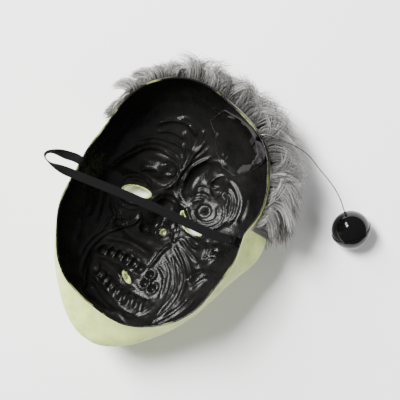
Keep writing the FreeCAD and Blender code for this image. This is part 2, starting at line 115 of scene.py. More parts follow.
VIEW_TURN = math.radians(30)
VIEW_HEIGHT, VIEW_WIDTH = 1.3, 0.4168
camera_data = bpy.data.cameras.new("camera")
camera = linked("camera", camera_data)
camera.matrix_world = Matrix.Translation((-0.0089, 0.0209, VIEW_HEIGHT)) @ Matrix.Rotation(VIEW_TURN, 4, "Z")
camera_data.sensor_width = 36.0
camera_data.lens = camera_data.sensor_width * VIEW_HEIGHT / VIEW_WIDTH
camera_data.clip_start = 0.05
bpy.context.scene.camera = camera


def studio_light(name, around, elevation, distance, size, watts, mirrored=True):
    """A soft box, around degrees anticlockwise from the camera's right. mirrored: gloss shows it."""
    data = bpy.data.lights.new(name, "AREA")
    data.shape = "RECTANGLE"
    data.size, data.size_y = size
    data.energy = watts
    lamp = linked(name, data)
    turn, rise = math.radians(around) + VIEW_TURN, math.radians(elevation)
    way = Vector((math.cos(turn) * math.cos(rise), math.sin(turn) * math.cos(rise), math.sin(rise)))
    lamp.location = way * distance
    lamp.rotation_euler = way.to_track_quat("Z", "Y").to_euler()
    lamp.visible_glossy = mirrored


studio_light("key", 142, 62, 2.6, (0.74, 0.74), 190, mirrored=False)
studio_light("window", 129, 36, 2.4, (0.52, 0.62), 44)
studio_light("soft_box", 134, 53, 2.4, (0.44, 0.44), 46)
studio_light("reflector", -25, 42, 2.2, (1.3, 1.3), 15, mirrored=False)
world = bpy.data.worlds.new("studio")
world.use_nodes = True
sky = world.node_tree.nodes["Background"].inputs
sky["Color"].default_value = (0.98, 0.98, 1.0, 1)
sky["Strength"].default_value = 0.26
bpy.context.scene.world = world

# ------------------------------------------------------------------ face shell
# One skin of moulded latex about 2 mm thick, black inside and painted pale green outside. Every fold of the
# face shows inside as its negative. The wall follows the CAD shell, and the relief is pressed into it.

# the mask's own frame: origin in the middle of the rim, +Y to the forehead, the face towards -Z.
rim_middle = Vector(next(m["pos_m"] for m in frame["record"]["mounts"] if m["name"] == "face_opening"))
LYING = (
    Matrix.Translation(rim_middle)
    @ Matrix.Rotation(math.radians(-9.0), 4, "X")
    @ Matrix.Rotation(math.radians(-4.5), 4, "Y")
)
BOWL_MIDDLE = Vector((0, 0, -0.028))


def wall_tree(source):
    """A ray-casting tree of a piece, in the mask's own frame."""
    to_mask = LYING.inverted() @ source.matrix_world
    corners = [to_mask @ v.co for v in source.data.vertices]
    return BVHTree.FromPolygons(corners, [tuple(p.vertices) for p in source.data.polygons])


def bowl_way(polar, turn):
    """A direction out of the bowl: polar is measured from the way the face looks, turn from +X."""
    return Vector((math.sin(polar) * math.cos(turn), math.sin(polar) * math.sin(turn), -math.cos(polar)))


shell_tree = wall_tree(nodes["face_shell"])
CELLS = 218

# for directions 4 degrees apart: the angles from the middle to the rim that cut the wall into equal lengths
EVEN = np.linspace(0, 1, 49)
even_polars = np.zeros((91, EVEN.size))
for k in range(91):
    turn = math.radians(4 * k + 0.4)
    low, high = math.radians(55), math.radians(125)
    for _ in range(18):
        middle = (low + high) / 2
        if shell_tree.ray_cast(BOWL_MIDDLE, bowl_way(middle, turn))[0]:
            low = middle
        else:
            high = middle
    sampled = np.linspace(0, low * 0.9965, 70)
    hits = [shell_tree.ray_cast(BOWL_MIDDLE, bowl_way(p, turn))[0] for p in sampled]
    known = [m for m in range(70) if hits[m] is not None]
    places = np.array([hits[m] for m in known])
    reach = np.interp(sampled, sampled[known], np.linalg.norm(places - np.array(BOWL_MIDDLE), axis=1))
    path = np.array([reach * np.sin(sampled), -reach * np.cos(sampled)])
    length = np.concatenate([[0], np.cumsum(np.hypot(*np.diff(path, axis=1)))])
    even_polars[k] = np.interp(EVEN, length / length[-1], sampled)

line = np.linspace(-1, 1, CELLS + 1)
grid_u, grid_v = np.meshgrid(line, line, indexing="ij")
disc_x, disc_y = grid_u * np.sqrt(1 - grid_v**2 / 2), grid_v * np.sqrt(1 - grid_u**2 / 2)
turns = np.arctan2(disc_y, disc_x) % (2 * np.pi)
shares = np.clip(np.hypot(disc_x, disc_y), 0, 1)
packed = shares * (0.93 + 0.07 * shares)
turn_at, share_at = np.degrees(turns) / 4, packed * 48
turn_low, share_low = np.minimum(turn_at.astype(int), 89), np.minimum(share_at.astype(int), 47)
turn_part, share_part = turn_at - turn_low, share_at - share_low
polars = (
    even_polars[turn_low, share_low] * (1 - turn_part) * (1 - share_part)
    + even_polars[turn_low + 1, share_low] * turn_part * (1 - share_part)
    + even_polars[turn_low, share_low + 1] * (1 - turn_part) * share_part
    + even_polars[turn_low + 1, share_low + 1] * turn_part * share_part
)
wall = np.zeros((CELLS + 1, CELLS + 1, 3))
missed = []
for i in range(CELLS + 1):
    for j in range(CELLS + 1):
        polar = polars[i, j]
        for _ in range(20 if shares[i, j] > 0.95 else 1):
            hit = shell_tree.ray_cast(BOWL_MIDDLE, bowl_way(polar, turns[i, j] + 0.0007))[0]
            if hit:
                break
            polar -= 0.002
        if hit:
            wall[i, j] = hit
        else:
            missed.append((i, j))


def relaxed(points, rounds):
    """Points of a grid drawn towards their neighbours, which takes out facets and closes small holes."""
    for _ in range(rounds):
        inner = (points[2:, 1:-1] + points[:-2, 1:-1] + points[1:-1, 2:] + points[1:-1, :-2]) / 4
        points[1:-1, 1:-1] = inner
    return points


# a hole in the CAD wall lets the ray through to nothing or to its far edge: those points are filled in
centre_distance = np.linalg.norm(wall - np.array(BOWL_MIDDLE), axis=2)
bad = np.zeros(centre_distance.shape, bool)
for i, j in missed:
    bad[i, j] = True
for _ in range(3):
    grown = bad.copy()
    grown[1:] |= bad[:-1]
    grown[:-1] |= bad[1:]
    grown[:, 1:] |= bad[:, :-1]
    grown[:, :-1] |= bad[:, 1:]
    bad = grown
bad[0], bad[-1], bad[:, 0], bad[:, -1] = False, False, False, False
for _ in range(400):
    filled = (wall[2:, 1:-1] + wall[:-2, 1:-1] + wall[1:-1, 2:] + wall[1:-1, :-2]) / 4
    wall[1:-1, 1:-1][bad[1:-1, 1:-1]] = filled[bad[1:-1, 1:-1]]
wall = relaxed(wall, 4)

step_u = np.gradient(wall, axis=0)
step_v = np.gradient(wall, axis=1)
outward = np.cross(step_u, step_v)
outward /= np.linalg.norm(outward, axis=2, keepdims=True)
if outward[CELLS // 2, CELLS // 2, 2] > 0:
    outward = -outward
# at the grid's four corners both rows of cells run along the rim, so the way out comes from further in
for rows, near_i in ((slice(0, 6), 6), (slice(-6, None), -7)):
    for columns, near_j in ((slice(0, 6), 6), (slice(-6, None), -7)):
        outward[rows, columns] = outward[near_i, near_j]

# The relief, in millimetres of the mask's own frame. Positive heights stand up towards the wearer.
x_mm, y_mm = wall[..., 0] * 1000, wall[..., 1] * 1000
relief = np.zeros_like(x_mm)


def ease(value, low, high):
    share = np.clip((value - low) / (high - low), 0, 1)
    return share * share * (3 - 2 * share)


def smooth_line(points, per_span=6):
    """More points along a smooth line through the given ones."""
    p = np.array([points[0], *points, points[-1]], float)
    out = []
    for a, b, c, d in zip(p, p[1:], p[2:], p[3:]):
        for t in np.linspace(0, 1, per_span, endpoint=False):
            bend, twist = 2 * a - 5 * b + 4 * c - d, 3 * b - a - 3 * c + d
            out.append(0.5 * (2 * b + (c - a) * t + bend * t**2 + twist * t**3))
    out.append(p[-2])
    return np.array(out)


def fold(points, width, height, taper=0.2, sharp=0.5):
    """A crease along a line, with a crest sharper than its flanks, that dies out at both ends."""
    global relief
    line_points = smooth_line(points)
    reach = 3.2 * width
    near = (
        (x_mm > line_points[:, 0].min() - reach)
        & (x_mm < line_points[:, 0].max() + reach)
        & (y_mm > line_points[:, 1].min() - reach)
        & (y_mm < line_points[:, 1].max() + reach)
    )
    px, py = x_mm[near], y_mm[near]
    best = np.full(px.shape, 1e9)
    place = np.zeros(px.shape)
    last = len(line_points) - 2
    for k, (a, b) in enumerate(zip(line_points, line_points[1:])):
        d = b - a
        t = np.clip(((px - a[0]) * d[0] + (py - a[1]) * d[1]) / max(d @ d, 1e-9), 0, 1)
        gap = np.hypot(px - a[0] - t * d[0], py - a[1] - t * d[1])
        closer = gap < best
        best[closer] = gap[closer]
        place[closer] = (k + t[closer]) / (last + 1)
    ends = ease(np.minimum(place, 1 - place), 0.0, taper) if taper else 1.0
    profile = (1 - sharp) * np.exp(-((best / width) ** 2)) + sharp * np.exp(-best / (0.55 * width))
    relief[near] += height * ends * profile


def mound(at, size, height, turned=0.0, power=2.0):
    """A rounded hill, or a pocket where height is negative."""
    global relief
    c, s = math.cos(math.radians(turned)), math.sin(math.radians(turned))
    dx, dy = x_mm - at[0], y_mm - at[1]
    u, v = (dx * c + dy * s) / size[0], (-dx * s + dy * c) / size[1]
    relief += height * np.exp(-((u * u + v * v) ** (power / 2)))


def ring(at, radius, width, height, start=0.0, end=360.0, oval=1.0, turned=0.0):
    """A crease along an arc."""
    angles = np.radians(np.linspace(start, end, max(5, int((end - start) / 24) + 1)))
    c, s = math.cos(math.radians(turned)), math.sin(math.radians(turned))
    points = []
    for a in angles:
        u, v = radius * math.cos(a), radius * oval * math.sin(a)
        points.append((at[0] + u * c - v * s, at[1] + u * s + v * c))
    fold(points, width, height, taper=0.0 if end - start >= 360 else 0.2)


# the large forms: a deep hollow under the brow band, the pits beside the nose, and the cavity of the mouth
for at, size, height, turned in (
    ((-61, 31), (7, 17), -5.0, -32),
    ((-42, 55), (13, 6), -5.0, 28),
    ((-71, 43), (9, 20), 3.0, -28),
    ((-30, 47), (15, 7), 2.4, 12),
    ((11, 64), (7, 15), -7.0, -24),
    ((9, 44), (7, 10), -5.0, 15),
    ((-4, 14), (10, 9), -5.0, 0),
    ((-30, -27), (13, 4), -4.0, -18),
    ((-8, -28), (12, 5), -4.0, 0),
    ((-36, -84), (6, 17), -4.0, 22),
    ((-12, -71), (25, 4.5), -3.6, -9),
    ((3, -100), (26, 4.5), -4.0, 3),
    ((63, -45), (9, 13), -3.0, 0),
    ((-62, -30), (12, 22), -1.8, -10),
):
    mound(at, size, height, turned)

# forehead wrinkles over the open eye, long arcs that run into the crease between the brows
for points, width, height in (
    (((-55, 78), (-48, 87), (-38, 94), (-27, 97), (-16, 95), (-9, 89)), 2.0, 3.4),
    (((-52, 72), (-41, 81), (-29, 84), (-21, 82)), 1.7, 3.0),
    (((-70, 48), (-61, 60), (-49, 69), (-37, 73), (-24, 75), (-16, 71)), 1.5, 3.0),
    (((-52, 61), (-44, 66), (-33, 68), (-24, 68), (-17, 65), (-11, 58)), 1.3, 2.8),
    (((-57, 48), (-50, 56), (-40, 61), (-30, 62), (-18, 61), (-11, 55), (-9, 48)), 1.5, 3.6),
    (((-75, 14), (-73, 24), (-69, 38), (-61, 53), (-48, 62)), 4.2, 3.6),
    (((-70, 16), (-67, 32), (-60, 44), (-52, 53)), 1.5, 3.0),
    (((-74, 26), (-69, 42), (-62, 53)), 1.1, 1.8),
    (((-89, 20), (-88, 30), (-86, 39)), 3.0, 1.8),
    (((-37, 97), (-28, 101), (-20, 100), (-10, 97)), 1.5, 2.8),
    (((-24, 96), (-17, 94), (-12, 91)), 2.6, 2.2),
    (((-26, 88), (-19, 86), (-13, 80), (-12, 74)), 2.6, 2.6),
    (((-21, 79), (-17, 75), (-15, 69), (-11, 61), (-10, 51)), 1.4, 2.4),
):
    fold(points, width, height)

# crease down the middle of the brow, which forks round both eyes
for points, width, height in (
    (((-1, 97), (-2, 84), (-5, 74), (-6, 63), (-8, 52), (-9, 42), (-13, 32), (-19, 25), (-25, 20)), 1.7, 5.6),
    (((14, 83), (7, 73), (0, 63), (-2, 53), (0, 41), (4, 32), (14, 25)), 1.7, 5.4),
    (((5, 88), (3, 80), (-1, 72), (-4, 64), (-5, 56)), 1.2, 2.6),
    (((-9, 100), (-6, 92), (-6, 82), (-9, 72)), 2.6, 2.8),
    (((-6, 50), (-7, 42), (-4, 34), (3, 30)), 1.2, 2.6),
    (((-2, 50), (-4, 44), (-8, 37), (-13, 31)), 1.2, 2.0),
    (((-20, 9), (-18, 19), (-11, 27), (-2, 29), (8, 24), (14, 20)), 1.8, 4.0),
    (((-16, 12), (-12, 20), (-4, 23), (4, 21)), 1.2, 2.2),
):
    fold(points, width, height)

# open eye: a swirl at the inner corner, puffs under the brow, and folded lids
mound((-17, 48), (2.6, 3.4), 2.4, 0)
mound((-27, 40), (5, 3.6), 3.2, -20)
mound((-23, 50), (4.5, 2.6), 2.6, 30)
for points, width, height in (
    (((-47, 30), (-44, 37), (-37, 41), (-31, 43), (-24, 42)), 2.0, 2.6),
    (((-29, 47), (-24, 54), (-16, 53), (-13, 47), (-18, 43), (-23, 43)), 1.3, 3.4),
    (((-55, 11), (-51, 18), (-44, 24), (-37, 25), (-31, 21)), 1.1, 3.0),
    (((-54, 7), (-49, 15), (-42, 20), (-34, 21), (-28, 24)), 1.0, 2.6),
    (((-58, 13), (-54, 22), (-46, 28), (-36, 29), (-29, 27)), 1.1, 2.4),
    (((-52, 1), (-44, -2), (-35, -1), (-27, 4), (-22, 10)), 1.4, 2.4),
    (((-56, -3), (-46, -8), (-36, -7), (-27, -3)), 1.3, 2.0),
    (((-36, 35), (-31, 37), (-26, 36)), 1.2, 1.6),
):
    fold(points, width, height)

# swollen eye: a lens of skin with a curl over the lid, a ball with one crescent of rings, loops beside it
mound((33, 28), (10, 10), 2.6, power=3)
mound((33, 29), (2.4, 2.4), 3.6)
ring((33, 28), 6.4, 1.0, -1.6, 0, 360)
ring((28.5, 57.5), 3.6, 1.3, 3.2, 30, 330, 1.2, 60)
for points, width, height in (
    (((23, 27), (26, 19), (34, 16), (43, 19), (48, 26), (46, 34), (40, 39)), 1.1, 3.2),
    (((30, 13), (38, 13), (46, 17), (51, 24), (50, 34), (45, 41)), 1.1, 2.6),
    (((34, 10), (43, 11), (50, 15), (55, 22), (56, 31), (52, 40), (46, 46)), 1.3, 3.2),
    (((35, 71), (28, 66), (23, 57), (27, 50), (34, 44), (38, 50), (38, 60), (35, 71)), 1.1, 3.4),
    (((10, 72), (16, 77), (24, 79), (31, 75)), 2.4, 2.0),
    (((14, 44), (18, 49), (24, 50), (28, 46)), 1.5, 2.8),
    (((15, 36), (20, 41), (27, 43), (33, 41)), 2.0, 2.6),
    (((17, 30), (21, 35), (27, 38)), 1.5, 2.0),
    (((38, 66), (46, 65), (54, 60), (60, 53), (63, 42), (63, 32), (60, 22)), 1.5, 3.2),
    (((42, 60), (49, 57), (54, 51), (58, 41), (59, 30), (56, 19)), 1.3, 3.0),
    (((41, 54), (46, 53), (50, 48), (51, 42)), 1.8, 2.8),
    (((44, 60), (48, 53), (50, 45)), 1.2, 2.2),
    (((66, 60), (70, 46), (71, 32)), 2.2, 1.6),
    (((14, 24), (19, 19), (25, 14), (31, 11)), 1.2, 2.4),
):
    fold(points, width, height)

# nose: the hollow tip with two nostrils, and creases to the cheeks
mound((-13, -17), (4, 3.5), -3.5)
ring((6, -10), 5.4, 1.3, 2.8)
ring((-13, -17), 5.2, 1.3, 2.4, 150, 420)
for points, width, height in (
    (((-22, -8), (-19, -13), (-20, -20)), 1.4, 2.6),
    (((-25, -4), (-23, -13), (-25, -21)), 1.1, 2.2),
    (((9, 3), (13, -4), (15, -11)), 1.3, 2.4),
    (((-4, 4), (-3, -6), (-4, -15)), 2.2, 2.0),
    (((14, -1), (19, -8), (22, -16)), 1.4, 2.4),
    (((15, 8), (19, -2), (24, -11)), 1.2, 1.8),
):
    fold(points, width, height)

# sunken cheeks: a fan of long folds from the nose to the jaw on the wire's side, shallow ones opposite
for points, width, height in (
    (((21, -16), (16, -29), (14, -40), (12, -51)), 1.3, 3.6),
    (((21, -16), (32, -23), (43, -32), (52, -45), (56, -64), (54, -78), (49, -95)), 1.5, 3.6),
    (((24, -26), (33, -35), (42, -46), (48, -57), (49, -71), (46, -85), (44, -99)), 1.4, 3.2),
    (((18, -32), (30, -38), (39, -48), (44, -62), (46, -76), (41, -92)), 1.3, 3.0),
    (((17, -44), (25, -46), (32, -52), (36, -62), (38, -74)), 1.4, 2.8),
    (((26, -28), (36, -33), (46, -42), (51, -55)), 1.0, 2.0),
    (((20, -38), (28, -43), (35, -51)), 1.0, 1.8),
    (((60, -58), (58, -73), (50, -88), (43, -101)), 1.3, 2.4),
    (((67, -52), (65, -68), (57, -86), (47, -101)), 1.4, 2.0),
    (((54, -27), (60, -18), (66, -9)), 2.2, 3.0),
    (((54, -45), (57, -35), (64, -25)), 3.0, 2.8),
    (((60, -50), (64, -40), (70, -31)), 1.6, 2.0),
    (((56, -16), (61, -8), (64, 0)), 1.8, 2.2),
    (((57, 2), (63, 7), (67, 14)), 1.4, 1.8),
    (((-43, -33), (-45, -20), (-53, -13), (-58, -3)), 1.8, 3.0),
    (((-41, -39), (-33, -28), (-25, -18), (-22, -5)), 1.2, 3.0),
    (((-48, -24), (-38, -19), (-29, -15)), 1.3, 2.2),
    (((-50, -45), (-48, -33), (-47, -24)), 1.6, 2.2),
    (((-69, 2), (-64, -14), (-59, -29), (-58, -40)), 2.2, 1.6),
    (((-77, -12), (-70, -22), (-66, -36)), 2.6, 1.6),
    (((-72, -40), (-66, -52), (-64, -66)), 2.4, 1.2),
    (((-84, 6), (-80, -4), (-79, -18)), 2.6, 1.2),
    (((30, -4), (38, -8), (47, -9)), 1.4, 2.4),
    (((26, -8), (35, -14), (46, -18), (54, -22)), 1.2, 2.4),
    (((30, -16), (40, -22), (50, -31), (56, -41)), 1.2, 2.2),
    (((24, 4), (34, 0), (45, 1)), 1.4, 2.0),
    (((50, 4), (56, -5), (57, -15)), 1.3, 2.0),
):
    fold(points, width, height)

# mouth: stretched lips, a gum ridge, and the lower lip's rolls
for points, width, height in (
    (
        ((-22, -19), (-32, -26), (-40, -36), (-46, -48), (-49, -62), (-48, -76), (-45, -86), (-39, -97)),
        1.3, 3.4,
    ),
    (((-36, -28), (-46, -39), (-52, -51), (-54, -65), (-52, -78)), 1.3, 2.4),
    (
        (
            (-40, -95), (-34, -104), (-26, -109), (-18, -109), (-8, -111),
            (3, -109), (11, -106), (18, -108), (27, -110),
        ),
        1.3, 3.4,
    ),
    (((-43, -48), (-36, -43), (-28, -40), (-18, -37), (-9, -37), (3, -38), (9, -41)), 3.0, 3.6),
    (((-30, -91), (-23, -97), (-9, -102), (3, -104)), 1.1, 2.6),
    (((-41, -80), (-38, -90), (-31, -99)), 1.6, 2.4),
    (((36, -80), (32, -91), (24, -98), (14, -103), (4, -104)), 1.4, 2.6),
):
    fold(points, width, height)
# the upper teeth: a scalloped ridge round a row of rounded pockets, and a lower lip to them
upper_teeth = ((-37, -58), (-29, -55), (-20.5, -53.8), (-12, -53), (-3.5, -53.5), (5, -55))
ridge = [(-41, -65), (-43, -59)]
for k, at in enumerate(upper_teeth):
    tilt = 30 - 9 * k
    mound(at, (3.6, 4.6), -3.4, tilt, power=4)
    ridge += [(at[0] - 1, at[1] + 7.0 - 0.2 * k), (at[0] + 3.6, at[1] + 5.4 - 0.2 * k)]
    if k:
        last_tooth = upper_teeth[k - 1]
        between = (Vector(last_tooth) + Vector(at)) / 2
        lean = Vector((0.4, 4.5))
        fold((between + lean, between, between - lean), 0.9, 2.8)
fold(ridge, 1.0, 3.6)
fold(((-41, -66), (-34, -64), (-28, -62), (-21, -62.5), (-14, -61), (-8, -65)), 1.1, 3.4)
fold(((-4, -60), (3, -61), (9, -63)), 1.0, 2.6)
for at in ((17, -56), (16.4, -66), (26, -67)):
    mound(at, (3.0, 3.8), -3.4, -30, power=4)
    ring(at, 4.9, 1.1, 3.2, -150, 170, 1.15, -30)
# the lower teeth: pockets with a thin wall on each side
lower_teeth = (
    (-33, -77), (-25, -80), (-17.5, -82), (-10, -84.5), (-2, -86.5), (6.5, -88), (15.5, -88), (25, -87),
)
for k, at in enumerate(lower_teeth):
    lean = Vector((1.1, -5.4 - 0.1 * k))
    mound(at, (2.7, 5.4), 2.6, 10, power=4)
    wall_at = Vector(at) + Vector((4.0, -1.0))
    fold((wall_at - lean, wall_at, wall_at + lean), 0.8, -2.6, taper=0.1)
    edge_at = Vector(at) + Vector((2.2, 0))
    fold((edge_at - lean * 0.8, edge_at, edge_at + lean * 0.8), 0.6, 1.6, taper=0.1)
fold(((-36, -80), (-30, -85), (-15, -90), (0, -95), (15, -98), (28, -97), (36, -89)), 1.2, -3.0)
fold(((-37, -75), (-27, -74), (-15, -76), (0, -79), (13, -80), (24, -79), (33, -77)), 1.2, -2.4)
ring((-3.5, -69.5), 5.6, 1.3, 3.4, 0, 360, 0.72, -28)

# slack skin everywhere: soft lumps, with finer ones where the face is folded
face_zone = np.exp(-((((x_mm + 2) / 72) ** 2 + ((y_mm + 5) / 104) ** 2) ** 2))
lumps = np.zeros_like(relief)
for i in range(CELLS + 1):
    for j in range(CELLS + 1):
        spot = Vector((x_mm[i, j], y_mm[i, j], 0.0))
        fine = noise.fractal(spot * 0.21 + Vector((7, 3, 0)), 0.8, 2.0, 3)
        lumps[i, j] = 0.55 * noise.fractal(spot * 0.055, 0.9, 2.1, 3) + 0.35 * face_zone[i, j] * fine
near_rim = ease(shares, 0.80, 0.97)
DEEPEST = 9.0
relief = np.tanh(relief / DEEPEST) * DEEPEST
relief = relief * (1 - near_rim) + lumps * (1 - 0.5 * near_rim)
relief += 1.5 * ease(shares, 0.86, 1.0) * np.sin(turns * 7 + 1.3) * np.sin(turns * 3 + 0.4)
skin = wall - outward * relief[..., None] * 0.001

# build the skin as one sheet, open the eye, the slit, the nostril and the mouth, and thicken it
bm = bmesh.new()
bmesh.ops.create_grid(bm, x_segments=CELLS, y_segments=CELLS, size=1.0)
bleed_layer = bm.verts.layers.float.new("bleed")
edge_layer = bm.verts.layers.float.new("rim_near")
index_of = {}
local = {}
for v in bm.verts:
    i = int(round((v.co.x + 1) / 2 * CELLS))
    j = int(round((v.co.y + 1) / 2 * CELLS))
    index_of[v] = (i, j)
    local[v] = (x_mm[i, j], y_mm[i, j])
    v.co = Vector(skin[i, j])


def oval_gap(at, half, turned):
    """Signed distance in millimetres, roughly, from an oval's edge; negative inside."""
    c, s = math.cos(math.radians(turned)), math.sin(math.radians(turned))

    def gap(x, y):
        dx, dy = x - at[0], y - at[1]
        u, v = (dx * c + dy * s) / half[0], (-dx * s + dy * c) / half[1]
        return (math.hypot(u, v) - 1) * min(half)

    return gap


def arc_gap(at, radius, half_width, start, end):
    """Signed distance from the edge of a slit along an arc, pointed at both ends."""

    def gap(x, y):
        dx, dy = x - at[0], y - at[1]
        angle = math.degrees(math.atan2(dy, dx)) % 360
        share = (angle - start) / (end - start)
        if not 0 < share < 1:
            return 9.0
        return abs(math.hypot(dx, dy) - radius) - half_width * math.sin(math.pi * share) ** 0.6

    return gap


HOLES = (
    oval_gap((-37.5, 11), (13.0, 5.6), 18),
    arc_gap((34, 27), 23.0, 2.7, 202, 292),
    oval_gap((6, -10), (3.0, 3.0), 0),
    oval_gap((-3.5, -69.5), (3.7, 1.5), -30),
)
gaps = {}
for v in bm.verts:
    x, y = local[v]
    gaps[v] = [hole(x, y) for hole in HOLES]
    reach = (2.2, 2.4, 1.8, 3.4)
    v[bleed_layer] = max(1 - max(0.0, g) / r for g, r in zip(gaps[v], reach))
    v[bleed_layer] = max(0.0, v[bleed_layer])
doomed = [f for f in bm.faces if any(sum(gaps[v][h] for v in f.verts) < 0 for h in range(4))]
for f in bm.faces:
    from_side = [sum(min(index_of[v][k], CELLS - index_of[v][k]) for v in f.verts) / 4 for k in (0, 1)]
    if from_side[0] * from_side[1] < 9:  # slivers along the rim, less than 0.2 mm wide together
        doomed.append(f)
doomed = list(set(doomed))
bmesh.ops.delete(bm, geom=doomed, context="FACES")
# the ragged edge of each hole is drawn onto its outline
for v in bm.verts:
    if not v.is_boundary or index_of[v][0] in (0, CELLS) or index_of[v][1] in (0, CELLS):
        continue
    h = min(range(4), key=lambda k: abs(gaps[v][k]))
    x, y = local[v]
    d = 0.05
    gap_at = HOLES[h]
    slope = Vector((gap_at(x + d, y) - gap_at(x - d, y), gap_at(x, y + d) - gap_at(x, y - d))) / (2 * d)
    if slope.length > 0.2:
        shift = -slope * gaps[v][h] / slope.length_squared
        if shift.length < 2.0:
            v.co += Vector((shift.x, shift.y, 0)) * 0.001

for v in bm.verts:
    i, j = index_of[v]
    v[edge_layer] = float(ease(shares[i, j], 0.99, 1.0)) * 0.38
bm.normal_update()
bmesh.ops.transform(bm, matrix=LYING, verts=bm.verts)
shell = placed(bm, "latex_shell")


def settled(obj):
    """Applies an object's modifiers."""
    graph = bpy.context.evaluated_depsgraph_get()
    made = bpy.data.meshes.new_from_object(obj.evaluated_get(graph))
    obj.modifiers.clear()
    obj.data = made
    return obj


def shade_smooth(obj):
    obj.data.polygons.foreach_set("use_smooth", [True] * len(obj.data.polygons))


WALL = 0.0018
for v in shell.data.vertices:
    v.co.z = max(v.co.z, WALL + 0.0003)
thicken = shell.modifiers.new("wall", "SOLIDIFY")
thicken.thickness = WALL
thicken.offset = -1
thicken.material_offset = 1
thicken.material_offset_rim = 0


def math_of(material, operation, *terms):
    """The output of a Math node on sockets and plain numbers."""
    made = material.node_tree.nodes.new("ShaderNodeMath")
    made.operation = operation
    for socket, term in zip(made.inputs, terms):
        if isinstance(term, bpy.types.NodeSocket):
            material.node_tree.links.new(term, socket)
        else:
            socket.default_value = term
    return made.outputs[0]


def toned(material, factor, *stops, into=None):
    """The colours or grey levels that a value runs through, led into a socket if it is given."""
    made = node(material, "ValToRGB", Fac=factor)
    elements = made.color_ramp.elements
    while len(elements) < len(stops):
        elements.new(0.5)
    for element, (at, colour) in zip(elements, stops):
        element.position = at
        element.color = (*colour, 1) if isinstance(colour, tuple) else (colour, colour, colour, 1)
    if into:
        material.node_tree.links.new(made.outputs["Color"], into)
    return made.outputs["Color"]


def painted_value(material, name):
    """A value that the piece's mesh carries."""
    made = node(material, "Attribute")
    made.attribute_name = name
    return made.outputs["Fac"]


# black latex: brushed on unevenly and slightly grainy, with green paint that has crept over the rim and the
# edges of the holes
latex, shader = new_material("black_latex", Specular_IOR_Level=0.33)
place = node(latex, "TexCoord").outputs["Object"]
cloud = node(latex, "TexNoise", Vector=place, Scale=38, Detail=6, Roughness=0.6).outputs["Fac"]
grain = node(latex, "TexNoise", Vector=place, Scale=700, Detail=4, Roughness=0.65).outputs["Fac"]
edges = math_of(latex, "ADD", painted_value(latex, "bleed"), painted_value(latex, "rim_near"))
edges = math_of(latex, "ADD", edges, math_of(latex, "MULTIPLY_ADD", cloud, 0.7, -0.35))
paint_over = node(latex, "Mix")
paint_over.data_type = "RGBA"
latex.node_tree.links.new(toned(latex, edges, (0.40, 0.0), (0.62, 1.0)), paint_over.inputs["Factor"])
toned(latex, cloud, (0.3, (0.002, 0.002, 0.002)), (0.75, (0.007, 0.0067, 0.006)), into=paint_over.inputs["A"])
paint_over.inputs["B"].default_value = (0.36, 0.42, 0.13, 1)
latex.node_tree.links.new(paint_over.outputs["Result"], shader["Base Color"])
toned(latex, cloud, (0.25, 0.21), (0.8, 0.38), into=shader["Roughness"])
bumped(latex, cloud, 0.4, 0.0012, below=bumped(latex, grain, 0.5, 0.00035))

# pale green painted latex: sponged layers from bright yellow green to grey green
paint, shader = new_material("green_painted_latex", Roughness=0.48, Specular_IOR_Level=0.25)
place = node(paint, "TexCoord").outputs["Object"]
sponge = node(paint, "TexNoise", Vector=place, Scale=60, Detail=8, Roughness=0.62).outputs["Fac"]
mottle = node(paint, "TexNoise", Vector=place, Scale=16, Detail=4, Roughness=0.5).outputs["Fac"]
skin_grain = node(paint, "TexNoise", Vector=place, Scale=900, Detail=3).outputs["Fac"]
layers = math_of(paint, "MULTIPLY_ADD", mottle, 0.5, math_of(paint, "MULTIPLY", sponge, 0.5))
toned(
    paint, layers,
    (0.30, (0.20, 0.26, 0.08)), (0.42, (0.40, 0.47, 0.15)),
    (0.54, (0.53, 0.62, 0.19)), (0.72, (0.66, 0.75, 0.27)),
    into=shader["Base Color"],
)
bumped(paint, skin_grain, 0.4, 0.0003)

shell.data.materials.append(latex)
shell.data.materials.append(paint)
settled(shell)
shade_smooth(shell)
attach(shell, "mask")
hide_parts("face_shell")

# ------------------------------------------------------------------ wig: knitted backing
# A knitted strip stretched and glued round the outside of the forehead, just under the rim. It carries the
# fur, which hides it, and lies half a millimetre off the wall.
WIG_START, WIG_END = 14.0, 147.0
FRONT_POLAR = 56.0
BACKING_LENGTH, BACKING_DEPTH = 0.29, 0.05


def rim_polar(turn_degrees):
    return float(np.interp(turn_degrees % 360, np.arange(0, 361, 4), even_polars[:, -1]))


def outside_wall(polar, turn, out):
    """A point out mm off the painted side of the wall."""
    way = bowl_way(polar, turn)
    hit = shell_tree.ray_cast(BOWL_MIDDLE + way * 0.3, -way)[0]
    return hit + way * out * 0.001 if hit else BOWL_MIDDLE + way * 0.09


bm = bmesh.new()
bmesh.ops.create_grid(bm, x_segments=120, y_segments=20, size=0.5)
cloth_uv = bm.loops.layers.uv.new("cloth")
for v in bm.verts:
    turn = WIG_START + (WIG_END - WIG_START) * (v.co.x + 0.5)
    low, high = math.radians(FRONT_POLAR), rim_polar(turn) - math.radians(2.2)
    polar = low + (high - low) * (v.co.y + 0.5)
    for loop in v.link_loops:
        loop[cloth_uv].uv = (v.co.x * BACKING_LENGTH, v.co.y * BACKING_DEPTH)
    v.co = LYING @ outside_wall(polar, math.radians(turn), 0.5)
backing = placed(bm, "wig_backing_knit")


def laid_cloth(material):
    """The coordinates of a piece's own cloth layer."""
    made = node(material, "UVMap")
    made.uv_map = "cloth"
    return made.outputs["UV"]


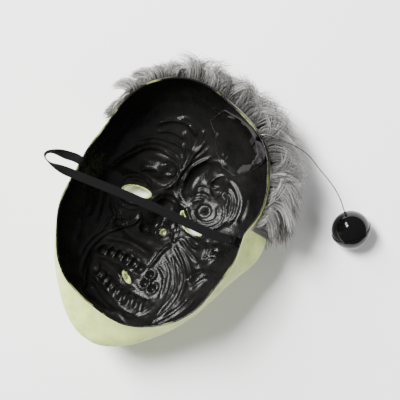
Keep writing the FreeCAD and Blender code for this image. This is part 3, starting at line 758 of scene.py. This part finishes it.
knit, shader = new_material("grey_knit", Roughness=0.95)
ribs = node(knit, "TexWave", Vector=laid_cloth(knit), Scale=160, Distortion=1.5).outputs["Fac"]
toned(knit, ribs, (0.0, (0.07, 0.068, 0.06)), (1.0, (0.16, 0.155, 0.14)), into=shader["Base Color"])
bumped(knit, ribs, 0.6, 0.0003)
backing.data.materials.append(knit)
thicken = backing.modifiers.new("cloth", "SOLIDIFY")
thicken.thickness = 0.0007
thicken.offset = 0
settled(backing)
shade_smooth(backing)
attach(backing, "mask")
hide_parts("wig_backing")

# ------------------------------------------------------------------ wig: locks of grey fur
# Long-pile faux fur, glued to the backing. Each lock is sixty wisps of bent hairs that share a curl, each
# wisp with its own grey, and painted shade darkens the hairs towards the root, where the pile shades itself.
# The hairs leave the backing under the rim, spread outwards and droop.
LOCKS = (
    (14, 27, 28.59, 0.7), (27, 41, 42.50, 0.25), (41, 54, 46.85, 0), (54, 67, 50.23, 0), (67, 80, 52.16, 0),
    (80, 94, 47.33, 0), (94, 108, 43.70, 0), (108, 121, 29.90, 0), (121, 133, 27.50, 0), (133, 140, 16.25, 0),
    (140, 147, 12.50, 0),
)  # from turn, to turn, the longest hair in mm, and how far the lock is swept round
FIRST_SMALL_LOCK = 9
HAIR_POINTS = 9
HAIR_RADIUS = 0.00022
fur, shader = new_material("grey_fur", Roughness=0.42, Sheen_Weight=0.15)
hair_tone_with_root_shade = node(fur, "Mix")
hair_tone_with_root_shade.data_type = "RGBA"
hair_tone_with_root_shade.blend_type = "MULTIPLY"
hair_tone_with_root_shade.inputs["Factor"].default_value = 1.0
toned(
    fur, painted_value(fur, "tone"),
    (0.0, (0.035, 0.031, 0.028)), (0.30, (0.13, 0.122, 0.112)),
    (0.65, (0.30, 0.288, 0.27)), (1.0, (0.66, 0.65, 0.62)),
    into=hair_tone_with_root_shade.inputs["A"],
)
# painted shade: the hair colour is multiplied down to a twentieth at the root, rising to full at the tip, for
# the shade inside the pile
toned(fur, painted_value(fur, "tip"), (0.0, 0.05), (0.35, 0.42), (1.0, 1.0), into=hair_tone_with_root_shade.inputs["B"])
fur.node_tree.links.new(hair_tone_with_root_shade.outputs["Result"], shader["Base Color"])


def mesh_of(name, curve, material):
    """A piece made of a curve's tube."""
    carrier = linked(name, curve)
    graph = bpy.context.evaluated_depsgraph_get()
    mesh = bpy.data.meshes.new_from_object(carrier.evaluated_get(graph))
    bpy.data.objects.remove(carrier)
    mesh.materials.clear()
    mesh.materials.append(material)
    made = linked(name, mesh)
    shade_smooth(made)
    return made


for number, (start, end, longest, swept) in enumerate(LOCKS, 1):
    chance = random.Random(4100 + number)
    curve = bpy.data.curves.new(f"fur_lock_{number:02d}", "CURVE")
    curve.dimensions = "3D"
    curve.bevel_depth = HAIR_RADIUS
    curve.bevel_resolution = 0
    curve.use_fill_caps = False
    wisps, hairs = (9, 127) if number >= FIRST_SMALL_LOCK else (60, 38)
    tones = []
    for wisp in range(wisps):
        turn_0 = math.radians(chance.uniform(start + (4.0 if number == 1 else -1.0), end + 1.0))
        depth = chance.random() ** 0.8
        top = rim_polar(math.degrees(turn_0)) - math.radians(3.2)
        low = math.radians(FRONT_POLAR + 3)
        polar_0 = low + (top - low) * depth
        length = longest * 0.001 * chance.uniform(0.72, 1.0)
        sweep = chance.uniform(-0.55, 0.55) + swept
        curl = chance.choice((-1, 1)) * chance.uniform(0.6, 3.4)
        lift = chance.uniform(-0.1, 0.6) * (1 if depth > 0.5 else 0.4)
        wisp_tone = min(1, max(0, chance.gauss(0.47, 0.24)))
        for _ in range(hairs):
            turn = turn_0 + math.radians(chance.gauss(0, 1.3))
            polar = min(top + 0.02, polar_0 + math.radians(chance.gauss(0, 1.8)))
            at = outside_wall(polar, turn, 0.9)
            side = Vector((-math.sin(turn), math.cos(turn), 0))
            up = Vector((0, 0, 1))
            flat_way = Vector((math.cos(turn), math.sin(turn), 0))
            stray = (chance.gauss(0, 0.05), chance.gauss(0, 0.05), chance.gauss(0, 0.06))
            heading = flat_way + side * (sweep * 0.4 + stray[0]) + up * (0.28 + lift * 0.5 + stray[1])
            heading.normalize()
            step = length * chance.uniform(0.82, 1.06) / (HAIR_POINTS - 1)
            spline = curve.splines.new("POLY")
            spline.points.add(HAIR_POINTS - 1)
            wander = curl + chance.gauss(0, 0.3)
            for k in range(HAIR_POINTS):
                share = k / (HAIR_POINTS - 1)
                world_at = LYING @ at
                world_at.z = max(world_at.z, 0.0005)
                spline.points[k].co = (*world_at, 1)
                spline.points[k].radius = 1.15 - 0.85 * share**2
                bend = side * (wander * 0.26 * (0.25 + share)) - up * (0.10 + 0.26 * share)
                heading = (heading + bend + flat_way * stray[2] * 0.2).normalized()
                at = at + heading * step
            tones.append(min(1, max(0, wisp_tone + chance.gauss(0, 0.18))))
    lock = mesh_of(f"fur_lock_{number:02d}", curve, fur)
    per_ring = len(lock.data.vertices) // (len(tones) * HAIR_POINTS)
    index = np.arange(len(lock.data.vertices))
    tip_values = ((index // per_ring) % HAIR_POINTS) / (HAIR_POINTS - 1)
    tone_values = np.array(tones)[np.minimum(index // (per_ring * HAIR_POINTS), len(tones) - 1)]
    for layer, values in (("tip", tip_values), ("tone", tone_values)):
        lock.data.attributes.new(layer, "FLOAT", "POINT").data.foreach_set("value", values.astype(np.float32))
    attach(lock, "mask")
    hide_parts(f"hair_tuft_{number:02d}")

# ------------------------------------------------------------------ cloth patch over the wire's root
# A piece of thin black cloth glued inside the forehead by its edges, over the wire and the plate that holds
# it. It is simulated with a little slack, so it lies in soft folds between the glued edges.
PATCH_CELLS = 46
PATCH_SIZE = (0.078, 0.070)
# the cut edges of the cloth, as turn and polar in degrees
PATCH_FRONT = (
    (57.5, 64.8), (60.4, 60.0), (69.3, 57.8), (76.4, 58.9),
    (81.0, 60.6), (84.6, 64.5), (86.3, 67.6), (90.2, 69.5),
)
PATCH_BACK = ((55.9, 97.2), (64.8, 95.6), (69.7, 94.4), (74.7, 91.0), (84.2, 84.2), (88.8, 82.7))
PATCH_RIGHT = ((57.5, 64.8), (56.4, 71.0), (55.6, 86.5), (55.9, 97.2))
PATCH_LEFT = ((90.2, 69.5), (93.3, 71.7), (91.1, 76.6), (88.8, 82.7))
WIRE_TURN = 66.5
SETTLE_FRAMES = 30


def edge_point(edge, share):
    """A point of a cut edge, by its share of the edge's length."""
    edge = np.array(edge)
    steps = np.concatenate([[0], np.cumsum(np.linalg.norm(np.diff(edge, axis=0), axis=1))])
    return np.array([np.interp(share * steps[-1], steps, edge[:, i]) for i in (0, 1)])


def patch_place(u, v):
    """Turn and polar in degrees of a point of the cloth, between its four cut edges."""
    corners = [np.array(c) for c in (PATCH_FRONT[0], PATCH_FRONT[-1], PATCH_BACK[0], PATCH_BACK[-1])]
    ruled = (1 - v) * edge_point(PATCH_FRONT, u) + v * edge_point(PATCH_BACK, u)
    ruled = ruled + (1 - u) * edge_point(PATCH_RIGHT, v) + u * edge_point(PATCH_LEFT, v)
    for corner, weight in zip(corners, ((1 - u) * (1 - v), u * (1 - v), (1 - u) * v, u * v)):
        ruled = ruled - corner * weight
    return ruled


relief_tree = wall_tree(shell)


def inside_wall(polar, turn, out, tree=shell_tree):
    """A point out mm off the black side of the wall, towards the wearer."""
    way = bowl_way(polar, turn)
    hit = tree.ray_cast(BOWL_MIDDLE, way)[0] or shell_tree.ray_cast(BOWL_MIDDLE, way)[0]
    return hit - way * out * 0.001 if hit else BOWL_MIDDLE + way * 0.085


bm = bmesh.new()
bmesh.ops.create_grid(bm, x_segments=PATCH_CELLS, y_segments=PATCH_CELLS, size=0.5)
cloth_uv = bm.loops.layers.uv.new("cloth")
glue = bm.verts.layers.deform.verify()
for v in bm.verts:
    across, down = v.co.x + 0.5, v.co.y + 0.5
    turn, polar = patch_place(across, down)
    from_edge = min(across, 1 - across, down, 1 - down)
    over_wire = math.exp(-(((turn - WIRE_TURN) / 7.5) ** 2)) * float(ease(down, 0.25, 0.6))
    folds = math.sin(15 * across - 5 * down + 2.2 * math.sin(4 * down))
    folds += 0.5 * math.sin(9 * across + 13 * down)
    lift = 1.6 + 3.2 * over_wire + 2.8 * float(ease(from_edge, 0.0, 0.16)) * (1.0 + 0.8 * folds)
    v.co = LYING @ inside_wall(math.radians(polar), math.radians(turn), lift, relief_tree)
    for loop in v.link_loops:
        loop[cloth_uv].uv = (across * PATCH_SIZE[0], down * PATCH_SIZE[1])
    if from_edge < 0.02:
        v[glue][0] = 1.0
patch = placed(bm, "patch_cloth")
patch.vertex_groups.new(name="glued")
bm = bmesh.new()
bmesh.ops.create_grid(bm, x_segments=40, y_segments=40, size=0.5)
for v in bm.verts:
    turn = math.radians(48 + 53 * (v.co.x + 0.5))
    low, high = math.radians(50), rim_polar(math.degrees(turn))
    v.co = LYING @ inside_wall(low + (high - low) * (v.co.y + 0.5), turn, 0.05, relief_tree)
wall_stop = placed(bm, "wall_stop")
wall_stop.modifiers.new("stop", "COLLISION")
wall_stop.collision.thickness_outer = 0.0004
cloth = patch.modifiers.new("cloth", "CLOTH")
cloth.settings.quality = 8
cloth.settings.mass = 0.02
cloth.settings.vertex_group_mass = "glued"
cloth.settings.shrink_min = -0.05
cloth.settings.effector_weights.gravity = 0.12
cloth.settings.tension_stiffness = 12
cloth.settings.compression_stiffness = 12
cloth.settings.bending_stiffness = 0.05
cloth.collision_settings.distance_min = 0.0005
scene = bpy.context.scene
scene.frame_start, scene.frame_end = 1, SETTLE_FRAMES
cloth.point_cache.frame_start, cloth.point_cache.frame_end = 1, SETTLE_FRAMES
for frame_number in range(1, SETTLE_FRAMES + 1):
    scene.frame_set(frame_number)
settled(patch)
bpy.data.objects.remove(wall_stop)
cloth_mat, shader = new_material(
    "black_woven_cloth", Roughness=0.9, Specular_IOR_Level=0.10, Sheen_Weight=0.06
)
place = laid_cloth(cloth_mat)
warp = node(cloth_mat, "TexWave", Vector=place, Scale=420, Distortion=0.6)
weft = node(cloth_mat, "TexWave", Vector=place, Scale=420, Distortion=0.6)
weft.bands_direction = "Y"
fluff = node(cloth_mat, "TexNoise", Vector=place, Scale=90, Detail=6).outputs["Fac"]
toned(
    cloth_mat, fluff, (0.2, (0.015, 0.0135, 0.0145)), (0.8, (0.030, 0.027, 0.029)), into=shader["Base Color"]
)
bumped(cloth_mat, math_of(cloth_mat, "MAXIMUM", warp.outputs["Fac"], weft.outputs["Fac"]), 0.5, 0.0002)
patch.data.materials.append(cloth_mat)
thicken = patch.modifiers.new("cloth_thickness", "SOLIDIFY")
thicken.thickness = 0.0005
thicken.offset = 0
soften = patch.modifiers.new("soften", "SUBSURF")
soften.levels = soften.render_levels = 1
settled(patch)
shade_smooth(patch)
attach(patch, "mask")
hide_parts("cover_patch")

# ------------------------------------------------------------------ elastic strap
# One length of flat knitted elastic, 8.6 mm wide. It is stapled inside the left wall, goes over the rim,
# makes a loose loop beside the mask on its edge, and runs flat across the back to the right wall.
BAND_WIDTH, BAND_THICKNESS = 0.0086, 0.0011
LOOP_ROUTE = (
    (-94.0, -1.6, 3.3, 0.0), (-102.0, -3.2, 2.9, 0.25), (-109.5, -4.8, 2.9, 0.6), (-115.8, -7.0, 3.0, 0.9),
    (-119.8, -9.9, 3.0, 1.0), (-120.9, -13.2, 3.0, 1.0), (-118.6, -16.2, 3.0, 1.0),
    (-112.2, -17.9, 2.9, 0.85),
    (-104.0, -17.8, 2.7, 0.5), (-96.0, -17.2, 2.4, 0.15), (-87.0, -16.0, 2.1, 0.0), (-60.0, -12.4, 1.8, 0.0),
    (-30.0, -8.6, 1.6, 0.0), (0.0, -5.4, 1.2, 0.0), (30.0, -3.2, 0.8, 0.0), (60.0, -0.4, 0.3, 0.0),
    (70.0, 2.2, 0.0, 0.0), (76.9, 4.4, -0.5, 0.0),
)  # x, y, z in mm of the mask's frame, and the share of a quarter turn from flat to on edge
SPLIT = 5


def stations_of(route):
    """Middle line and way across of the free band."""
    made = []
    last = len(route) - 1
    for i, (x, y, z, edge) in enumerate(route):
        way = Vector(route[min(i + 1, last)][:3]) - Vector(route[max(i - 1, 0)][:3])
        flat = Vector((0, 0, 1)).cross(way).normalized() * -1
        turned = math.radians(90 * edge)
        across = flat * math.cos(turned) + Vector((0, 0, 1)) * math.sin(turned)
        made.append((Vector((x, y, z)) / 1000, across))
    return made


def down_the_wall(turn, sign):
    """Stations of a fixed end, from the staple up to the rim, about 1.5 mm off the wall."""
    made = []
    for depth in (17, 13, 9, 5):
        polar = rim_polar(math.degrees(turn)) - math.radians(depth * 0.62)
        side = Vector((-math.sin(turn), math.cos(turn), 0))
        made.append((inside_wall(polar, turn, 1.95), side * sign))
    return made


def band(name, stations, start_length):
    """A ribbed flat band along smooth stations, with rounded edges."""
    points = smooth_line([tuple(p) for p, _ in stations], 14)
    acrosses = smooth_line([tuple(a) for _, a in stations], 14)
    count = len(points) - 1
    bm = bmesh.new()
    bmesh.ops.create_grid(bm, x_segments=count, y_segments=8, size=0.5)
    uv = bm.loops.layers.uv.new("band")
    lengths = np.concatenate([[0], np.cumsum(np.linalg.norm(np.diff(points, axis=0), axis=1))]) + start_length
    for v in bm.verts:
        k = int(round((v.co.x + 0.5) * count))
        share = v.co.y
        way = Vector(points[min(k + 1, count)] - points[max(k - 1, 0)])
        side = Vector(acrosses[k])
        side = (side - way * (side.dot(way) / way.dot(way))).normalized()
        for loop in v.link_loops:
            loop[uv].uv = (lengths[k], share * BAND_WIDTH)
        v.co = LYING @ (Vector(points[k]) + side * share * BAND_WIDTH)
    made = placed(bm, name)
    thick = made.modifiers.new("thick", "SOLIDIFY")
    thick.thickness = BAND_THICKNESS
    thick.offset = 0
    round_off = made.modifiers.new("round", "BEVEL")
    round_off.width = 0.0004
    round_off.segments = 2
    round_off.limit_method = "ANGLE"
    made.data.materials.append(elastic_mat)
    settled(made)
    shade_smooth(made)
    return made, lengths[-1]


elastic_mat, shader = new_material("black_elastic", Roughness=0.85, Specular_IOR_Level=0.08)
place = node(elastic_mat, "UVMap")
place.uv_map = "band"
cords = node(elastic_mat, "TexWave", Vector=place.outputs["UV"], Scale=260, Distortion=0.3)
cords.bands_direction = "Y"
picks = node(elastic_mat, "TexWave", Vector=place.outputs["UV"], Scale=330, Distortion=0.5)
stitches = math_of(elastic_mat, "MULTIPLY", cords.outputs["Fac"], picks.outputs["Fac"])
toned(elastic_mat, stitches, (0.0, 0.002), (1.0, (0.012, 0.012, 0.013)), into=shader["Base Color"])
bumped(elastic_mat, stitches, 0.7, 0.0003)

LEFT_LEAD = ((-85.4, -1.6, -1.6), (-85.5, -1.6, 1.6), (-87.4, -1.6, 3.7), (-90.2, -1.6, 4.1))
RIGHT_LEAD = ((77.9, 4.8, -1.1), (78.9, 5.0, -2.8))
free = stations_of(LOOP_ROUTE)
left_stations = down_the_wall(math.radians(181.0), -1)
left_stations += [(Vector(p) / 1000, Vector((0, 1, 0))) for p in LEFT_LEAD]
left_stations += free[: SPLIT + 1]
right_stations = free[SPLIT:-1]
right_stations += [(Vector(p) / 1000, Vector((0, 1, 0))) for p in RIGHT_LEAD]
right_stations += reversed(down_the_wall(math.radians(3.6), 1))
elastic_left, joined_at = band("elastic_left", left_stations, 0.0)
elastic_right, _ = band("elastic_right", right_stations, joined_at)
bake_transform(elastic_left)
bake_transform(elastic_right)
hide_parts("strap_end_left")
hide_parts("elastic_strap", "strap_end_right")

# ------------------------------------------------------------------ spring wire
# One stiff steel wire, 1.2 mm thick. It comes out from under the cloth, bends over the rim, arches out over
# the fur and drops to the ball. It bends in two places, and it is made as two lengths that meet halfway
# between the bends.
WIRE_RADIUS = 0.0006
WIRE_ROUTE = (
    (47.0, 103.2, 79.4), (48.2, 105.2, 82.4), (50.6, 107.7, 84.5), (54.5, 109.4, 85.7), (60.5, 110.7, 86.9),
    (68.9, 112.4, 87.9), (80.8, 113.9, 87.5), (92.0, 114.3, 83.5), (102.9, 112.8, 77.0), (116.3, 108.2, 67.5),
    (129.0, 104.6, 57.0), (141.0, 100.3, 47.0), (152.1, 94.5, 38.4),
)  # mm from the middle of the rim, in the row frame's directions, with the table at z = 0
rim_floor = Vector((rim_middle.x, rim_middle.y, 0))
ball_middle = rim_floor + Vector((0.1797, 0.0732, 0.020))
ball_axis = Vector((-0.695, 0.530, 0.485)).normalized()
route = []
for depth in (31, 25, 19, 13, 8, 4):
    polar = rim_polar(WIRE_TURN) - math.radians(depth * 0.52)
    route.append(LYING @ inside_wall(polar, math.radians(WIRE_TURN), 2.7))
route += [rim_floor + Vector(p) / 1000 for p in WIRE_ROUTE]
route += [ball_middle + ball_axis * reach for reach in (0.028, 0.023, 0.0175, 0.012)]
bob_pivot = rim_floor + Vector((54.5, 109.4, 85.7)) / 1000
sway_pivot = rim_floor + Vector((92.0, 114.3, 83.5)) / 1000
wire_points = [Vector(p) for p in smooth_line([tuple(p) for p in route], 8)]
middle_at = min(range(len(wire_points)), key=lambda k: (wire_points[k] - (bob_pivot + sway_pivot) / 2).length)

steel, shader = new_material("drawn_steel", Metallic=1.0)
place = node(steel, "TexCoord").outputs["Object"]
tarnish = node(steel, "TexNoise", Vector=place, Scale=240, Detail=4).outputs["Fac"]
toned(steel, tarnish, (0.3, (0.16, 0.157, 0.152)), (0.8, (0.34, 0.335, 0.325)), into=shader["Base Color"])
toned(steel, tarnish, (0.3, 0.16), (0.8, 0.34), into=shader["Roughness"])


def wire_length(name, points):
    """A length of the wire along the points."""
    curve = bpy.data.curves.new(name, "CURVE")
    curve.dimensions = "3D"
    curve.bevel_depth = WIRE_RADIUS
    curve.bevel_resolution = 3
    curve.use_fill_caps = True
    spline = curve.splines.new("POLY")
    spline.points.add(len(points) - 1)
    for point, at in zip(spline.points, points):
        point.co = (*at, 1)
    made = mesh_of(name, curve, steel)
    return made


inner_wire = wire_length("wire_inner_length", wire_points[: middle_at + 1])
outer_wire = wire_length("wire_outer_length", wire_points[middle_at:])
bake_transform(inner_wire)
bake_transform(outer_wire)
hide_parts("spring_wire_root", "spring_wire_mid")
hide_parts("spring_wire_tip")

# ------------------------------------------------------------------ ball, ferrule and the small fittings
# The ball is two glossy black mouldings pressed together, with a lip round the lower one. The nodes of the
# ball, its ferrule and plug, the anchor plate, the tabs and the staples carry the shape; these are finishes.
gloss_black, shader = new_material(
    "gloss_black_plastic", Base_Color=(0.002, 0.002, 0.002, 1), Specular_IOR_Level=0.30
)
place = node(gloss_black, "TexCoord").outputs["Object"]
scuff = node(gloss_black, "TexNoise", Vector=place, Scale=120, Detail=6, Roughness=0.7).outputs["Fac"]
peel = node(gloss_black, "TexNoise", Vector=place, Scale=260, Detail=2).outputs["Fac"]
toned(gloss_black, scuff, (0.45, 0.03), (0.8, 0.14), into=shader["Roughness"])
bumped(gloss_black, peel, 0.12, 0.0003)

matte_black, shader = new_material("matte_black_plastic", Roughness=0.55)
place = node(matte_black, "TexCoord").outputs["Object"]
speckle = node(matte_black, "TexNoise", Vector=place, Scale=500, Detail=4).outputs["Fac"]
toned(matte_black, speckle, (0.3, 0.010), (0.8, 0.030), into=shader["Base Color"])

for node_name, finish_of in (
    ("ball_upper_shell", gloss_black),
    ("ball_lower_shell", gloss_black),
    ("wire_ferrule", matte_black),
    ("wire_plug", matte_black),
    ("wire_anchor", matte_black),
    ("strap_tab_left", latex),
    ("strap_tab_right", latex),
    ("strap_staple_left", steel),
    ("strap_staple_right", steel),
):
    nodes[node_name].data.materials.clear()
    nodes[node_name].data.materials.append(finish_of)
